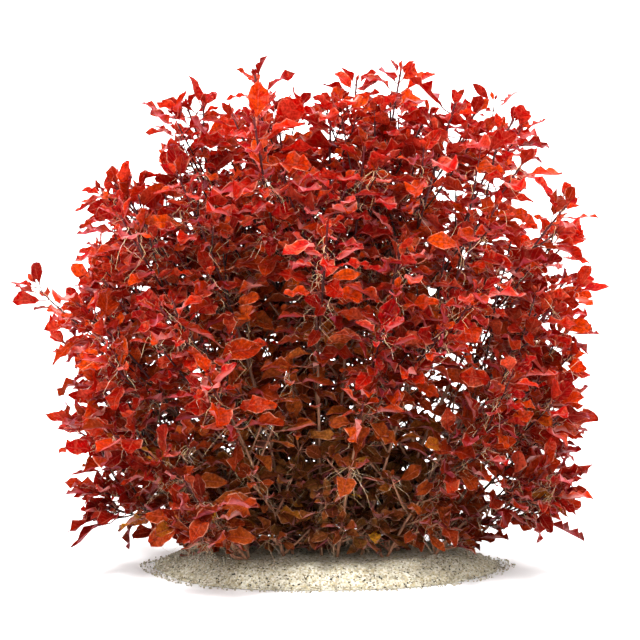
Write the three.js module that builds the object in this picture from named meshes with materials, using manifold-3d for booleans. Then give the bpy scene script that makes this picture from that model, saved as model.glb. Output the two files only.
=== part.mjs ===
// A clump of red marsh seedbox, an aquarium stem plant, rooted in the patch of pale sand it grows in.
// Millimetres, +Z up. The origin is the middle of the sand patch's flat underside.
// Each plant is one closed solid: a square stem with a side shoot, and leaves in crossed opposite pairs.
import * as THREE from "three";
import Module from "manifold-3d";
import { mergeVertices } from "three/addons/utils/BufferGeometryUtils.js";

const wasm = await Module();
wasm.setup();

// Driving dimensions of the clump
const PLANTS = 45;
const CROWN_CENTRE_HEIGHT = 95; // the point that the fan of shoots is measured from
const CROWN_HALF_DEPTH = 104;
const LOWEST_FAN_ANGLE = 118; // degrees from straight up, to either side, in the clump's middle plane
const DEEPEST_PLANT = 0.94; // share of the clump's half depth
const LOW_PLANTS_FROM = 0.45; // share of the half depth past which plants get lower, in front and behind
const LOW_PLANTS_DROP = 0.5;
const PLANTS_BACK = 10; // how far behind the sand patch's middle the plants stand
const FAN_POWER = 1.3; // above 1, it crowds the shoots towards the top of the fan
const CROWN_ROUNDING = 0.5; // how much shorter the plants get towards the front and the back
const LEAST_FULLNESS = 0.84; // the shortest shoots reach this share of the way to the outline
const LEAF_BEYOND_TIP = 9; // how far leaves stand out past the end of a shoot
const GROWTH_SEED = 45; // picks one growth of the clump in which no two stems touch
const GOLDEN_SHARE = 0.618034; // spreads the plants evenly over the fan, from the clump's front to its back
// The outline seen from the front: its distance from the crown's centre every 20 degrees, from the lower left
// round to the lower right
const OUTLINE_STEP = 20;
const OUTLINE_REACH = [132, 150, 160, 173, 201, 207, 237, 218, 228, 223, 199, 169, 168, 158, 134];

// The sand patch
const BED_HALF_WIDTH = 104;
const BED_HALF_DEPTH = 56;
const BED_HEIGHT = 12;
const BED_RIM = 3;
const SOCKET_FLOOR = 3;
const SOCKET_CLEARANCE = 0.6;
const FEET_WIDTH_SHARE = 0.86; // of the patch's half width, over which the stems stand
const FEET_DEPTH_SHARE = 0.6;

// Stems
const STEM_FOOT = 1.05; // half of the square stem's side
const STEM_TIP = 0.6;
const NODE_BAND = 1.6; // the short band of stem that leaves grow from
const SIDE_SHOOT_SHARE = 0.4; // of the main stem's length
const LOWER_BENDS = [0.1, 0.24]; // where the bare lower stem bends, as shares of its run

// Leaves
const BLADE_LENGTH = 22;
const BLADE_WIDTH_SHARE = 0.52;
const PETIOLE_SHARE = 0.32;
const BLADE_WIDEST = 0.42; // of the blade, from its base
const LEAST_LEAF_THICKNESS = 1.2;
const LEAF_GAP = 0.35; // air kept round every leaf
const LOWEST_LEAF = 2; // above the surface the sand lies on
const LOWEST_NODE = 22;

// The leaf pairs that the solid carries, counted down from the tip. A plant in water holds many more.
const MAIN_PAIRS = [1, 3, 6, 11];
const SIDE_PAIRS = [1, 4];

const radians = THREE.MathUtils.degToRad;
const vector = (x, y, z) => new THREE.Vector3(x, y, z);

// A repeatable number from 0 to 1 for one plant, one item on it and one use
function chance(plant, item, use) {
  const s = Math.sin(plant * 12.9898 + item * 78.233 + use * 37.719 + GROWTH_SEED) * 43758.5453;
  return s - Math.floor(s);
}

// The outline's reach at a fan angle in degrees, straight between the listed angles
function reachAt(angle) {
  const place = angle / OUTLINE_STEP + (OUTLINE_REACH.length - 1) / 2;
  const i = Math.floor(place);
  return THREE.MathUtils.lerp(OUTLINE_REACH[i], OUTLINE_REACH[i + 1], place - i);
}

// A stem along a quadratic curve from foot to tip, with a frame that doesn't turn about it
class Stem {
  constructor(foot, bend, tip, reference, footSize, tipSize) {
    Object.assign(this, { foot, bend, tip, reference, footSize, tipSize });
    this.length = (2 * foot.distanceTo(tip) + foot.distanceTo(bend) + bend.distanceTo(tip)) / 3;
  }
  at(t) {
    const p = this.foot.clone().multiplyScalar((1 - t) * (1 - t));
    return p.addScaledVector(this.bend, 2 * t * (1 - t)).addScaledVector(this.tip, t * t);
  }
  frame(t) {
    const up = this.bend.clone().sub(this.foot).multiplyScalar(1 - t);
    up.addScaledVector(this.tip.clone().sub(this.bend), t).normalize();
    const right = this.reference.clone().addScaledVector(up, -this.reference.dot(up)).normalize();
    const back = up.clone().cross(right);
    return { point: this.at(t), up, right, back, size: THREE.MathUtils.lerp(this.footSize, this.tipSize, t) };
  }
}

// The outward direction of side 0 to 3 of a square stem
function sideNormal({ right, back }, side) {
  const normal = side % 2 ? right.clone() : back.clone();
  return side === 0 || side === 3 ? normal.negate() : normal;
}

// The direction along the face of side 0 to 3, towards the next corner
function sideAlong({ right, back }, side) {
  const along = side % 2 ? back.clone() : right.clone();
  return side > 1 ? along.negate() : along;
}

function mainStem(plant) {
  const across = 2 * ((plant * GOLDEN_SHARE) % 1) - 1;
  const depth = DEEPEST_PLANT * ((2 * (plant + 0.5)) / PLANTS - 1);
  // The nearer the front or back, the lower the point that a plant's fan is measured from
  const low = Math.max(Math.abs(depth) - LOW_PLANTS_FROM, 0) / (DEEPEST_PLANT - LOW_PLANTS_FROM);
  const centreHeight = CROWN_CENTRE_HEIGHT * (1 - LOW_PLANTS_DROP * low);
  const widestFan = THREE.MathUtils.lerp(LOWEST_FAN_ANGLE, 95, low);
  const fan = widestFan * Math.sign(across) * Math.abs(across) ** FAN_POWER;
  const tilt = Math.asin(depth) + radians(8 * (chance(plant, 0, 1) - 0.5));
  const jittered = fan + 8 * (chance(plant, 0, 2) - 0.5);
  const fullness = THREE.MathUtils.lerp(LEAST_FULLNESS, 1, chance(plant, 0, 3));
  const reach = (reachAt(jittered) - LEAF_BEYOND_TIP) * fullness * Math.cos(tilt) ** CROWN_ROUNDING;
  const tip = vector(
    reach * Math.sin(radians(jittered)),
    PLANTS_BACK + CROWN_HALF_DEPTH * fullness * Math.sin(tilt),
    centreHeight + reach * Math.cos(radians(jittered)),
  );
  const foot = vector(
    FEET_WIDTH_SHARE * BED_HALF_WIDTH * (fan / LOWEST_FAN_ANGLE) * Math.sqrt(1 - depth * depth * 0.8),
    PLANTS_BACK + FEET_DEPTH_SHARE * BED_HALF_DEPTH * depth,
    SOCKET_FLOOR + SOCKET_CLEARANCE,
  );
  const run = tip.clone().sub(foot);
  const sideways = Math.hypot(run.x, run.y);
  const bend = foot.clone().add(vector(0.36 * run.x, 0.36 * run.y, 0.56 * run.z + 0.12 * sideways));
  const lean = Math.atan2(run.y, run.x);
  const turn = radians(90 * chance(plant, 0, 4));
  // A reference at right angles to the lean, turned about the chord so that leaf pairs face every way
  const level = vector(-Math.sin(lean), Math.cos(lean), 0);
  const reference = level.applyAxisAngle(run.clone().normalize(), turn);
  return new Stem(foot, bend, tip, reference, STEM_FOOT, STEM_TIP);
}

// The side shoot leaves the main stem part of the way up, from the side that faces most outwards
function sideShoot(plant, main) {
  const start = 0.38 + 0.2 * chance(plant, 0, 5);
  const frame = main.frame(start);
  const outwards = vector(frame.point.x, 1.6 * frame.point.y, 0).normalize();
  const swing = 2 * Math.PI * chance(plant, 0, 6);
  outwards.add(vector(0.8 * Math.cos(swing), 0.8 * Math.sin(swing), 0));
  const side = [0, 1, 2, 3].reduce((best, s) =>
    sideNormal(frame, s).dot(outwards) > sideNormal(frame, best).dot(outwards) ? s : best, 0);
  const length = main.length * SIDE_SHOOT_SHARE * (0.85 + 0.3 * chance(plant, 0, 7));
  const away = sideNormal(frame, side).multiplyScalar(0.62).add(frame.up).normalize();
  const foot = frame.point.clone().addScaledVector(sideNormal(frame, side), frame.size);
  const bend = foot.clone().addScaledVector(away, length / 2);
  const tip = bend.clone().addScaledVector(away.clone().add(vector(0, 0, 0.35)).normalize(), length / 2);
  const stem = new Stem(foot, bend, tip, sideAlong(frame, side), frame.size * 0.75, STEM_TIP);
  return { start, side, stem };
}

// How far below the tip leaf pair i stands: the stem's joints are close at the tip and even lower down
function nodeDepth(i) {
  let depth = 1.5;
  for (let k = 0; k < i; k++) depth += 10 * (1 - 0.75 * Math.exp(-k / 2.2));
  return depth;
}

// One leaf's points: the blade's two widest points and its tip, from where its stalk leaves the stem
function leafPoints(plant, item, i, frame, side) {
  const young = Math.exp(-i / 2);
  const length = BLADE_LENGTH * (1 - 0.72 * young) * (0.75 + 0.45 * chance(plant, item, 11));
  const width = length * BLADE_WIDTH_SHARE * (0.88 + 0.24 * chance(plant, item, 12));
  const stalk = length * PETIOLE_SHARE * (1 - 0.6 * young);
  const open = radians(22 + 50 * (1 - Math.exp(-i / 3)) + 24 * (chance(plant, item, 13) - 0.5));
  const out = sideNormal(frame, side);
  const along = frame.up.clone().multiplyScalar(Math.cos(open)).addScaledVector(out, Math.sin(open));
  along.z -= 0.12 * (1 - young);
  along.normalize();
  const face = frame.up.clone().multiplyScalar(Math.sin(open)).addScaledVector(out, -Math.cos(open));
  face.multiplyScalar(0.55).add(vector(0, 0, 0.45 * (1 - young)));
  face.addScaledVector(along, -face.dot(along)).normalize();
  face.applyAxisAngle(along, radians(50 * (chance(plant, item, 14) - 0.5)));
  const across = face.clone().cross(along);
  const curl = -0.25 * young + (1 - young) * (0.15 + 0.95 * chance(plant, item, 15));
  const root = frame.point.clone().addScaledVector(out, frame.size);
  const base = root.clone().addScaledVector(along, stalk);
  // The midrib is an arc that bends away from the blade's face
  const midrib = (s) => {
    const forward = (length * Math.sin(curl * s)) / curl;
    const drop = (length * (1 - Math.cos(curl * s))) / curl;
    return base.clone().addScaledVector(along, forward).addScaledVector(face, -drop);
  };
  const tip = midrib(1);
  const middle = midrib(BLADE_WIDEST);
  const share = middle.distanceTo(root) / (middle.distanceTo(root) + middle.distanceTo(tip));
  const sag = middle.clone().sub(root.clone().lerp(tip, share)).dot(face);
  middle.addScaledVector(face, LEAST_LEAF_THICKNESS - Math.min(sag, 0.3));
  const left = middle.clone().addScaledVector(across, -width / 2);
  const right = middle.clone().addScaledVector(across, width / 2);
  return { left, right, tip };
}

// A closed surface grown ring by ring
class Skin {
  constructor() {
    this.points = [];
    this.faces = [];
  }
  point(p) {
    return this.points.push(p) - 1;
  }
  ring({ point, right, back, size }, slide = 0, up = null) {
    const corners = [[-1, -1], [1, -1], [1, 1], [-1, 1]];
    return corners.map(([a, b]) => {
      const corner = point.clone().addScaledVector(right, a * size).addScaledVector(back, b * size);
      return this.point(up ? corner.addScaledVector(up, slide) : corner);
    });
  }
  // Joins two rings. A side named in doors is left open, and its four corners are given to that door.
  wall(low, high, doors = {}) {
    for (let side = 0; side < 4; side++) {
      const next = (side + 1) % 4;
      const quad = [low[side], low[next], high[next], high[side]];
      if (doors[side]) doors[side](quad);
      else this.faces.push([quad[0], quad[1], quad[2]], [quad[0], quad[2], quad[3]]);
    }
  }
  foot(ring) {
    this.faces.push([ring[0], ring[2], ring[1]], [ring[0], ring[3], ring[2]]);
  }
  apex(ring, p) {
    const top = this.point(p);
    for (let side = 0; side < 4; side++) this.faces.push([ring[side], ring[(side + 1) % 4], top]);
  }
  // A leaf over an open side: a flat stalk that widens to the blade, folded along its midrib
  leaf([a, b, c, d], { left, right, tip }) {
    const [l, r, t] = [left, right, tip].map((p) => this.point(p));
    this.faces.push([a, b, t], [b, c, r], [c, d, l], [c, l, r], [r, l, t], [d, a, l], [b, r, t], [a, t, l]);
  }
  geometry() {
    const flat = this.points.flatMap((p) => [p.x, p.y, p.z]);
    return new THREE.BufferGeometry()
      .setAttribute("position", new THREE.Float32BufferAttribute(flat, 3))
      .setIndex(this.faces.flat());
  }
}

function solidOf(geometry) {
  const bare = new THREE.BufferGeometry();
  bare.setAttribute("position", geometry.getAttribute("position"));
  bare.setIndex(geometry.index);
  const merged = mergeVertices(bare, 1e-4);
  return new wasm.Manifold(
    new wasm.Mesh({
      numProp: 3,
      vertProperties: new Float32Array(merged.attributes.position.array),
      triVerts: new Uint32Array(merged.index.array),
    }),
  );
}

function geometryOf(solid) {
  const { numProp, vertProperties, triVerts } = solid.getMesh();
  const positions = new Float32Array((vertProperties.length / numProp) * 3);
  for (let i = 0; i < positions.length / 3; i++) {
    positions.set(vertProperties.subarray(i * numProp, i * numProp + 3), i * 3);
  }
  return new THREE.BufferGeometry()
    .setAttribute("position", new THREE.BufferAttribute(positions, 3))
    .setIndex(new THREE.BufferAttribute(triVerts, 1));
}

// Everything placed so far, so that each new leaf can be kept clear of it
const placed = [];

function isClear(solid, ignore) {
  const { min, max } = solid.boundingBox();
  return placed.every((other) => {
    if (ignore.includes(other)) return true;
    const above = other.box.min.some((low, k) => low > max[k] + 1);
    const below = other.box.max.some((high, k) => high < min[k] - 1);
    return above || below || solid.minGap(other.solid, 1) > LEAF_GAP;
  });
}

function keep(solid) {
  const item = { solid, box: solid.boundingBox() };
  placed.push(item);
  return item;
}

// A bare stem as a solid of its own, for the clearance test
function stemSolid(stem, from = 0) {
  const skin = new Skin();
  const steps = 6;
  let low = skin.ring(stem.frame(from));
  skin.foot(low);
  for (let k = 1; k < steps; k++) {
    const high = skin.ring(stem.frame(from + ((1 - from) * k) / steps));
    skin.wall(low, high);
    low = high;
  }
  skin.apex(low, stem.tip);
  return solidOf(skin.geometry());
}

// A leaf as a solid of its own. It starts a little way out, clear of the stem that bears it.
function leafSolid(frame, side, points) {
  const skin = new Skin();
  const out = sideNormal(frame, side);
  const along = sideAlong(frame, side).multiplyScalar(frame.size);
  const root = frame.point.clone().addScaledVector(out, frame.size + 1);
  const half = frame.up.clone().multiplyScalar(NODE_BAND / 2);
  const corners = [[-1, -1], [1, -1], [1, 1], [-1, 1]].map(([a, u]) =>
    skin.point(root.clone().addScaledVector(along, a).addScaledVector(half, u)));
  skin.leaf(corners, points);
  skin.faces.push([corners[0], corners[2], corners[1]], [corners[0], corners[3], corners[2]]);
  return solidOf(skin.geometry());
}

// The leaf bands of one stem, from foot to tip, with only the leaves that have room
function leafBands(plant, stem, pairs, from, ignore, itemOffset) {
  const bands = [];
  for (const i of pairs) {
    const t = 1 - nodeDepth(i) / stem.length;
    if (t < from) continue;
    const frame = stem.frame(t);
    if (frame.point.z < LOWEST_NODE) continue;
    const leaves = {};
    for (const side of [i % 2, (i % 2) + 2]) {
      const item = itemOffset + 2 * i + (side > 1 ? 1 : 0);
      const points = leafPoints(plant, item, i, frame, side);
      if (Math.min(points.left.z, points.right.z, points.tip.z) < LOWEST_LEAF) continue;
      const solid = leafSolid(frame, side, points);
      if (!isClear(solid, ignore)) continue;
      keep(solid);
      leaves[side] = points;
    }
    if (Object.keys(leaves).length) bands.push({ t, leaves });
  }
  return bands.sort((p, q) => p.t - q.t);
}

// Grows the skin along a stem, from a ring that is already there, through its bends and bands to the tip
function growStem(skin, stem, low, bands) {
  for (const { t, leaves, door, bare } of bands) {
    const frame = stem.frame(t);
    if (bare) {
      const ring = skin.ring(frame);
      skin.wall(low, ring);
      low = ring;
      continue;
    }
    const lower = skin.ring(frame, -NODE_BAND / 2, frame.up);
    const upper = skin.ring(frame, NODE_BAND / 2, frame.up);
    skin.wall(low, lower);
    const doors = { ...door };
    for (const [side, points] of Object.entries(leaves)) doors[side] = (quad) => skin.leaf(quad, points);
    skin.wall(lower, upper, doors);
    low = upper;
  }
  skin.apex(low, stem.tip);
}

function plantGeometry(plant, main, side, mainItem, sideItem) {
  const own = [mainItem, sideItem];
  const bands = leafBands(plant, main, MAIN_PAIRS, 0.12, own, 0);
  const sideBands = leafBands(plant, side.stem, SIDE_PAIRS, 0.25, own, 200);
  const skin = new Skin();
  const foot = skin.ring(main.frame(0));
  skin.foot(foot);
  // The side shoot opens from a band of its own, clear of the leaf bands on either side
  const room = (2 * NODE_BAND) / main.length;
  const clear = bands.filter((band) => Math.abs(band.t - side.start) > room);
  const door = { [side.side]: (quad) => growStem(skin, side.stem, quad, sideBands) };
  clear.push({ t: side.start, leaves: {}, door });
  clear.push(...LOWER_BENDS.map((t) => ({ t, bare: true })));
  clear.sort((p, q) => p.t - q.t);
  growStem(skin, main, foot, clear);
  return skin.geometry();
}

// The room round a stem's buried foot. It follows the foot's first stretch and runs on, straight, out of the
// sand.
function socketSolid(main) {
  const socket = new Skin();
  const down = main.frame(0);
  const top = main.frame(LOWER_BENDS[0]);
  const climb = (BED_HEIGHT + 3 - down.point.z) / (top.point.z - down.point.z);
  top.point = down.point.clone().lerp(top.point, Math.max(climb, 1));
  down.size += SOCKET_CLEARANCE;
  top.size += SOCKET_CLEARANCE;
  const low = socket.ring(down, -SOCKET_CLEARANCE, down.up);
  const high = socket.ring(top);
  socket.foot(low);
  socket.wall(low, high);
  socket.faces.push([high[0], high[1], high[2]], [high[0], high[2], high[3]]);
  return solidOf(socket.geometry());
}

// The sand patch: a low oval mound with a flat underside, a thin edge and a socket for each stem's foot
function sandGeometry(mains) {
  const around = 26;
  const edge = (a) => 1 + 0.025 * Math.sin(3 * a + 1) + 0.02 * Math.sin(5 * a);
  const rings = [[1, 0], [1, BED_RIM], [0.91, 0.78 * BED_HEIGHT], [0.8, BED_HEIGHT]];
  const points = [vector(0, 0, 0)];
  for (const [share, height] of rings) {
    for (let k = 0; k < around; k++) {
      const a = (2 * Math.PI * k) / around;
      const x = share * edge(a) * BED_HALF_WIDTH * Math.cos(a);
      const y = share * edge(a) * BED_HALF_DEPTH * Math.sin(a);
      points.push(vector(x, y, height));
    }
  }
  const crest = points.push(vector(0, 0, BED_HEIGHT)) - 1;
  const faces = [];
  for (let k = 0; k < around; k++) {
    const next = (k + 1) % around;
    faces.push([0, 1 + next, 1 + k]);
    for (let r = 0; r < rings.length - 1; r++) {
      const [low, high] = [1 + r * around, 1 + (r + 1) * around];
      faces.push([low + k, low + next, high + next], [low + k, high + next, high + k]);
    }
    const last = 1 + (rings.length - 1) * around;
    faces.push([last + k, last + next, crest]);
  }
  const skin = new Skin();
  Object.assign(skin, { points, faces });
  let bed = solidOf(skin.geometry());
  for (const main of mains) {
    bed = bed.subtract(socketSolid(main));
  }
  return geometryOf(bed);
}

const leafRed = new THREE.MeshStandardMaterial({ color: 0xb3161a, roughness: 0.45, metalness: 0 });
const paleSand = new THREE.MeshStandardMaterial({ color: 0xd9d0b8, roughness: 0.95, metalness: 0 });

const clump = new THREE.Group();
const mains = [];
for (let plant = 0; plant < PLANTS; plant++) mains.push(mainStem(plant));
const sides = mains.map((main, plant) => sideShoot(plant, main));

const sand = new THREE.Mesh(sandGeometry(mains), paleSand);
sand.name = "sand_bed";
clump.add(sand);
keep(solidOf(sand.geometry));

const stemItems = mains.map((main, plant) => {
  return [keep(stemSolid(main, 0.1)), keep(stemSolid(sides[plant].stem, 0.05))];
});
for (let plant = 0; plant < PLANTS; plant++) {
  const [mainItem, sideItem] = stemItems[plant];
  const geometry = plantGeometry(plant, mains[plant], sides[plant], mainItem, sideItem);
  const mesh = new THREE.Mesh(geometry, leafRed);
  mesh.name = "plant_" + String(plant + 1).padStart(2, "0");
  clump.add(mesh);
}

export default clump;
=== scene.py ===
# A clump of red marsh seedbox, an aquarium stem plant, in the patch of pale sand that it is rooted in.
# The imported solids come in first. Every piece below is in their metres and takes the place of one of them.
from collections import defaultdict
import bpy
import numpy as np
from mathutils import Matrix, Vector


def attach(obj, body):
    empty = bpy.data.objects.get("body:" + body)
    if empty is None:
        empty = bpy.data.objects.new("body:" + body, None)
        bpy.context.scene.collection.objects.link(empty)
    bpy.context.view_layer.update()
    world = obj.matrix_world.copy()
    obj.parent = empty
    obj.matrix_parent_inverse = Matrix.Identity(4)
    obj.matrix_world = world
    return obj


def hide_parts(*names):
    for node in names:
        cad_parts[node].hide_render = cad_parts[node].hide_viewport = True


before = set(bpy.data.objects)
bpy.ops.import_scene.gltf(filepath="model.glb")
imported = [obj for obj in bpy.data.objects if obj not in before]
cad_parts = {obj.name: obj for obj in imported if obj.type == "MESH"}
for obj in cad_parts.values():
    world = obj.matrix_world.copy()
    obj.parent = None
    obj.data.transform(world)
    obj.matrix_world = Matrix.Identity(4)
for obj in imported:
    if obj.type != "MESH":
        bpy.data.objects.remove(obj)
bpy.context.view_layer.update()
MM = 0.001

# The viewpoint. The clump is seen from straight in front and a little above, from well over a metre away,
# so that the sand shows as a low strip under the leaves.
CAMERA_DISTANCE = 1.5
CAMERA_ELEVATION = np.radians(8)
CAMERA_TARGET = Vector((-0.0024, 0.0, 0.152))
PICTURE_SPAN = 0.383  # the width of the picture at the target
SENSOR_WIDTH = 36
camera_data = bpy.data.cameras.new("camera")
camera_data.sensor_width = SENSOR_WIDTH
camera_data.lens = SENSOR_WIDTH * CAMERA_DISTANCE / PICTURE_SPAN
camera = bpy.data.objects.new("camera", camera_data)
towards_camera = Vector((0, -np.cos(CAMERA_ELEVATION), np.sin(CAMERA_ELEVATION)))
camera.location = CAMERA_TARGET + CAMERA_DISTANCE * towards_camera
camera.rotation_euler = (-towards_camera).to_track_quat("-Z", "Y").to_euler()
bpy.context.scene.collection.objects.link(camera)
bpy.context.scene.camera = camera
bpy.context.scene.view_settings.view_transform = "Standard"

# The studio: a wide pale floor under a soft sky that is brightest overhead, a soft sun above the front, and
# a weaker one above and behind that shines through the leaves. None of it is part of the object.
FLOOR_HALF = 60.0
FLOOR_DROP = 0.0003  # keeps it clear of the sand's flat underside
FLOOR_PALENESS = 0.8
SKY_LOW = 1.95  # the sky's light at the horizon and below it
SKY_RISE = 1.5  # how much brighter it is straight overhead
BACKDROP_LIGHT = 1.05
SUN_SPREAD = 20


def feed(tree, node, values):
    """Links a node's named or numbered inputs to sockets, or sets them to numbers, colours or vectors."""
    for key, value in dict(values).items():
        if isinstance(value, bpy.types.NodeSocket):
            tree.links.new(value, node.inputs[key])
        else:
            node.inputs[key].default_value = value


def node_of(tree, kind, values=(), **settings):
    """A new shader node of a kind, with its settings and the values of its inputs."""
    node = tree.nodes.new("ShaderNode" + kind)
    for key, value in settings.items():
        setattr(node, key, value)
    feed(tree, node, values)
    return node


def maths(tree, operation, *values):
    """A Math node on sockets or numbers."""
    return node_of(tree, "Math", enumerate(values), operation=operation).outputs[0]


def upward_part(tree, vector):
    """The Z of a place or a direction, as a socket."""
    return node_of(tree, "SeparateXYZ", {0: vector}).outputs["Z"]


def new_material(name):
    """A material with nodes. It returns the tree, the shader and the output node."""
    material = bpy.data.materials.new(name)
    material.use_nodes = True
    tree = material.node_tree
    return tree, tree.nodes["Principled BSDF"], tree.nodes["Material Output"]


def studio_sky():
    """Light of SKY_LOW + SKY_RISE * height^2, where height is a direction's upward part, if any. The camera
    sees a plain white backdrop instead."""
    sky = bpy.data.worlds.new("sky")
    sky.use_nodes = True
    tree = sky.node_tree
    direction = node_of(tree, "TexCoord").outputs["Generated"]
    height = maths(tree, "MAXIMUM", upward_part(tree, direction), 0.0)
    light = maths(tree, "MULTIPLY_ADD", maths(tree, "MULTIPLY", height, height), SKY_RISE, SKY_LOW)
    soft = tree.nodes["Background"]
    feed(tree, soft, {"Color": (1, 1, 1, 1), "Strength": light})
    backdrop = node_of(tree, "Background", {"Color": (1, 1, 1, 1), "Strength": BACKDROP_LIGHT})
    seen = node_of(tree, "LightPath").outputs["Is Camera Ray"]
    either = node_of(tree, "MixShader", {"Fac": seen, 1: soft.outputs[0], 2: backdrop.outputs[0]})
    feed(tree, tree.nodes["World Output"], {"Surface": either.outputs[0]})
    bpy.context.scene.world = sky


def soft_sun(name, place, strength):
    """A sun lamp that shines from the side that place names, as a disc SUN_SPREAD degrees wide."""
    data = bpy.data.lights.new(name, "SUN")
    data.energy = strength
    data.angle = np.radians(SUN_SPREAD)
    lamp = bpy.data.objects.new(name, data)
    lamp.rotation_euler = (-Vector(place)).to_track_quat("-Z", "Y").to_euler()
    bpy.context.scene.collection.objects.link(lamp)


studio_sky()
soft_sun("front_sun", (-0.35, -0.5, 1.0), 4.0)
soft_sun("back_sun", (0.35, 0.7, 1.1), 3.0)
floor_tree, floor_shader, _ = new_material("pale_floor")
floor_colour = (FLOOR_PALENESS, FLOOR_PALENESS, FLOOR_PALENESS, 1)
feed(floor_tree, floor_shader, {"Base Color": floor_colour, "Roughness": 0.9})
floor_corners = [(-1, -1), (1, -1), (1, 1), (-1, 1)]
floor_points = [(x * FLOOR_HALF, y * FLOOR_HALF, -FLOOR_DROP) for x, y in floor_corners]
floor_mesh = bpy.data.meshes.new("floor")
floor_mesh.from_pydata(floor_points, [], [(0, 1, 2, 3)])
floor_mesh.materials.append(bpy.data.materials["pale_floor"])
floor = bpy.data.objects.new("floor", floor_mesh)
bpy.context.scene.collection.objects.link(floor)

# The patch of sand: a low oval mound of loose cream grains, bound by the plants' roots, flat underneath.
# Its surface is one closed sheet of rings, and whole grains are strewn over it and round its edge.
SAND_HALF_WIDTH = 104 * MM
SAND_HALF_DEPTH = 56 * MM
SAND_HEIGHT = 12 * MM
SAND_LEVEL_SHARE = 0.62  # how far out its top is level
SAND_EDGE_HEIGHT = 0.6 * MM
SAND_AROUND = 180
SAND_RINGS_BELOW = 6
SAND_RINGS_ABOVE = 46
SMALLEST_RING = 0.02  # share of the way out; its power of 0.7 on the top
GRAINS = 3400
LOOSE_SHARE = 0.35  # of the grains, which lie round the edge
GRAIN_SIZE = 0.5 * MM
GRAIN_SEED = 5
GRAIN_COLOURS = [
    (0.0, (194, 188, 166)),
    (0.34, (180, 168, 134)),
    (0.52, (214, 208, 192)),
    (0.76, (162, 154, 134)),
    (0.9, (128, 114, 84)),
    (0.955, (54, 48, 38)),
]


def ripple(x, y, seed):
    """Smooth unevenness from -1 to 1: the mean of four crossing sine waves, 6 to 31 mm long."""
    lengths = np.array([31, 17, 10, 6]) * MM
    turns = seed + np.array([0.4, 1.7, 2.9, 4.4])
    total = np.zeros_like(x)
    for length, turn in zip(lengths, turns):
        total += np.sin(2 * np.pi * (x * np.cos(turn) + y * np.sin(turn)) / length + 3 * turn)
    return total / 4


def sand_edge(angle):
    """How far out the outline is at an angle, as a share: an oval with three and five low bulges."""
    return 1 + 0.025 * np.sin(3 * angle + 1) + 0.02 * np.sin(5 * angle)


def sand_height(share, x, y):
    """The surface's height at a share of the way out: level at first, then down as fall^2.2, with 0.5 mm of
    ripple that fades out on the way."""
    fall = np.clip((share - SAND_LEVEL_SHARE) / (1 - SAND_LEVEL_SHARE), 0, 1)
    return SAND_HEIGHT * (1 - fall**2.2) + 0.5 * MM * ripple(x, y, 0.3) * (1 - fall)


def new_piece(name, points, quads, material_names, material_index=None):
    """A mesh object of four-cornered faces, given as whole arrays of points and of corner numbers."""
    mesh = bpy.data.meshes.new(name)
    mesh.vertices.add(len(points))
    mesh.vertices.foreach_set("co", np.asarray(points, np.float32).ravel())
    mesh.loops.add(quads.size)
    mesh.loops.foreach_set("vertex_index", quads.astype(np.int32).ravel())
    mesh.polygons.add(len(quads))
    mesh.polygons.foreach_set("loop_start", np.arange(0, quads.size, quads.shape[1], dtype=np.int32))
    for material_name in material_names:
        mesh.materials.append(bpy.data.materials[material_name])
    if material_index is not None:
        mesh.polygons.foreach_set("material_index", material_index.astype(np.int32))
    mesh.update(calc_edges=True)
    mesh.validate()
    mesh.shade_smooth()
    piece = bpy.data.objects.new(name, mesh)
    bpy.context.scene.collection.objects.link(piece)
    return piece


def ring_quads(rings, around):
    """Corner numbers of the walls between rings of points that run counter-clockwise, low ring first."""
    low = np.arange(rings - 1)[:, None] * around
    here = np.arange(around)[None, :]
    there = (here + 1) % around
    return np.stack([low + here, low + there, low + around + there, low + around + here], -1).reshape(-1, 4)


def strip_across(around):
    """Corner numbers of the quads that close a ring, in a strip from one side of it to the other."""
    k = np.arange(around // 2 - 1)
    return np.stack([k, k + 1, around - 2 - k, around - 1 - k], -1)


def sand_surface():
    """Rings from the flat underside's middle, out to the edge, up over it and in to the top's middle. The
    top is roughened by 0.25 mm, as the product of two bent sine waves."""
    angle = np.linspace(0, 2 * np.pi, SAND_AROUND, endpoint=False)[None, :]
    under = np.linspace(SMALLEST_RING, 1, SAND_RINGS_BELOW)[:, None]
    over = np.linspace(1, SMALLEST_RING, SAND_RINGS_ABOVE)[:, None] ** 0.7
    points = []
    for share, top in ((under, False), (over, True)):
        x = share * sand_edge(angle) * SAND_HALF_WIDTH * np.cos(angle)
        y = share * sand_edge(angle) * SAND_HALF_DEPTH * np.sin(angle)
        rough = 0.25 * MM * np.sin(x * 2100 + 3 * np.sin(y * 1700))
        rough = rough * np.sin(y * 2300 + 2 * np.sin(x * 1900))
        z = np.maximum(sand_height(share, x, y) + rough, SAND_EDGE_HEIGHT) if top else np.zeros_like(x)
        points.append(np.stack([x, y, z], -1).reshape(-1, 3))
    rings = SAND_RINGS_BELOW + SAND_RINGS_ABOVE
    end = strip_across(SAND_AROUND)
    quads = [ring_quads(rings, SAND_AROUND), end[:, ::-1], end + (rings - 1) * SAND_AROUND]
    return np.concatenate(points), np.concatenate(quads)


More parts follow.
